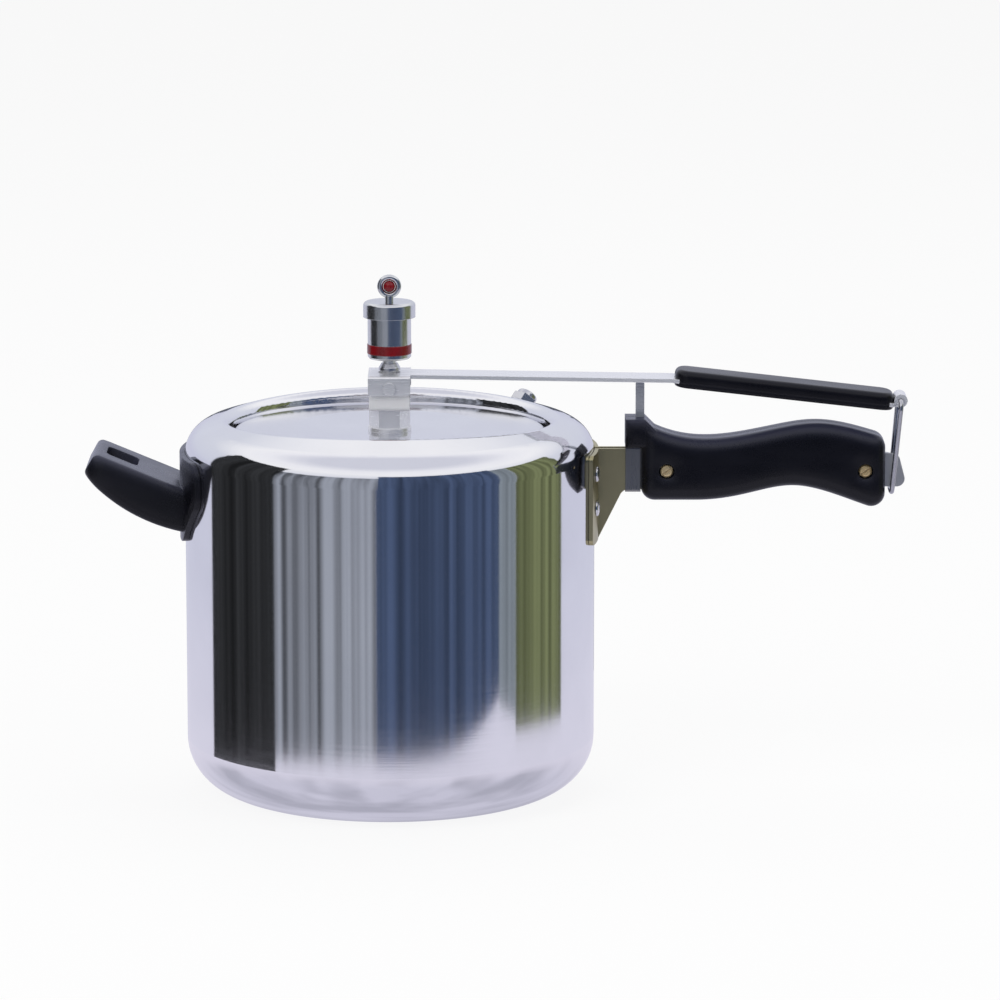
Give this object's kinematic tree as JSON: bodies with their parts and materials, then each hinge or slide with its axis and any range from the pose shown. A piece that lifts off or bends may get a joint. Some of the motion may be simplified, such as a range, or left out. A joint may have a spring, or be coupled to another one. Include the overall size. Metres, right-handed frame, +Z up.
{
  "type": "pressure canner",
  "caption": "Polished drawn pot with an oval mouth, an inner lid held up by a hinged lever, a wire locking loop, black moulded handles and a lift-off steam weight.",
  "frame": {"origin": "centre of the pot's flat base, on the surface that it stands on", "axes": "+Z up along the pot's axis; +X towards the end of the long handle, -X to the helper handle; the picture looks along +Y"},
  "size_m": [0.416, 0.208, 0.265],
  "materials": {
    "polished_aluminium": "mirror polished",
    "lid_aluminium": "polished",
    "plain_steel": "satin",
    "weight_chrome": "turned and plated",
    "rivet_aluminium": "satin",
    "brass_screw": "plated",
    "black_moulding": "moulded phenolic, satin",
    "red_plastic": "gloss",
    "fusible_alloy": "cast",
    "seal_rubber": "matte"
  },
  "bodies": {
    "pot": {"pot_body": "polished_aluminium", "handle_bracket_front": "plain_steel", "handle_bracket_rear": "plain_steel", "bracket_rivets": "rivet_aluminium", "bar_rivet": "rivet_aluminium", "handle_bar": "plain_steel", "handle_collar": "plain_steel", "handle_half_front": "black_moulding", "handle_half_rear": "black_moulding", "handle_screws": "brass_screw", "handle_nuts": "plain_steel", "helper_handle": "black_moulding", "helper_bracket": "plain_steel", "helper_rivets": "rivet_aluminium", "helper_screw": "plain_steel", "safety_valve_body": "plain_steel", "safety_valve_plug": "fusible_alloy", "safety_valve_nut": "plain_steel"},
    "lever": {"lid_lever": "plain_steel", "pivot_rivets": "plain_steel", "lid_grip_upper": "black_moulding", "lid_grip_lower": "black_moulding", "grip_screws": "plain_steel"},
    "lid": {"lid": "lid_aluminium", "sealing_gasket": "seal_rubber", "vent_tube": "plain_steel", "vent_washer": "seal_rubber", "vent_lock_nut": "plain_steel", "lid_bracket": "plain_steel", "bracket_nut": "plain_steel", "vent_cone_nut": "plain_steel"},
    "loop": {"locking_loop": "plain_steel"},
    "weight": {"weight_body": "weight_chrome", "weight_band": "red_plastic", "weight_cap": "weight_chrome", "weight_needle": "plain_steel", "weight_eye": "weight_chrome", "weight_bead": "red_plastic"}
  },
  "joints": [
    {"name": "loop_swing", "type": "hinge", "parent": "lever", "child": "loop", "pos_m": [0.25894, 0, 0.20133], "axis": [0, -1, 0], "range_deg": [0, 180]},
    {"name": "lever_lift", "type": "hinge", "parent": "pot", "child": "lever", "pos_m": [0.127, 0, 0.20877], "axis": [0, -1, 0], "range_deg": [0, 5]},
    {"name": "lid_level", "type": "hinge", "parent": "lever", "child": "lid", "pos_m": [0, 0, 0.2088], "axis": [0, -1, 0], "range_deg": [-5, 0]},
    {"name": "weight_lift", "type": "slide", "parent": "lid", "child": "weight", "axis": [0, 0, 1], "range_m": [0, 0.03]}
  ],
  "couplings": [
    {"joint": "lever_lift", "follows": "loop_swing", "ratio": 0.0277},
    {"joint": "lid_level", "follows": "loop_swing", "ratio": -0.0277}
  ]
}
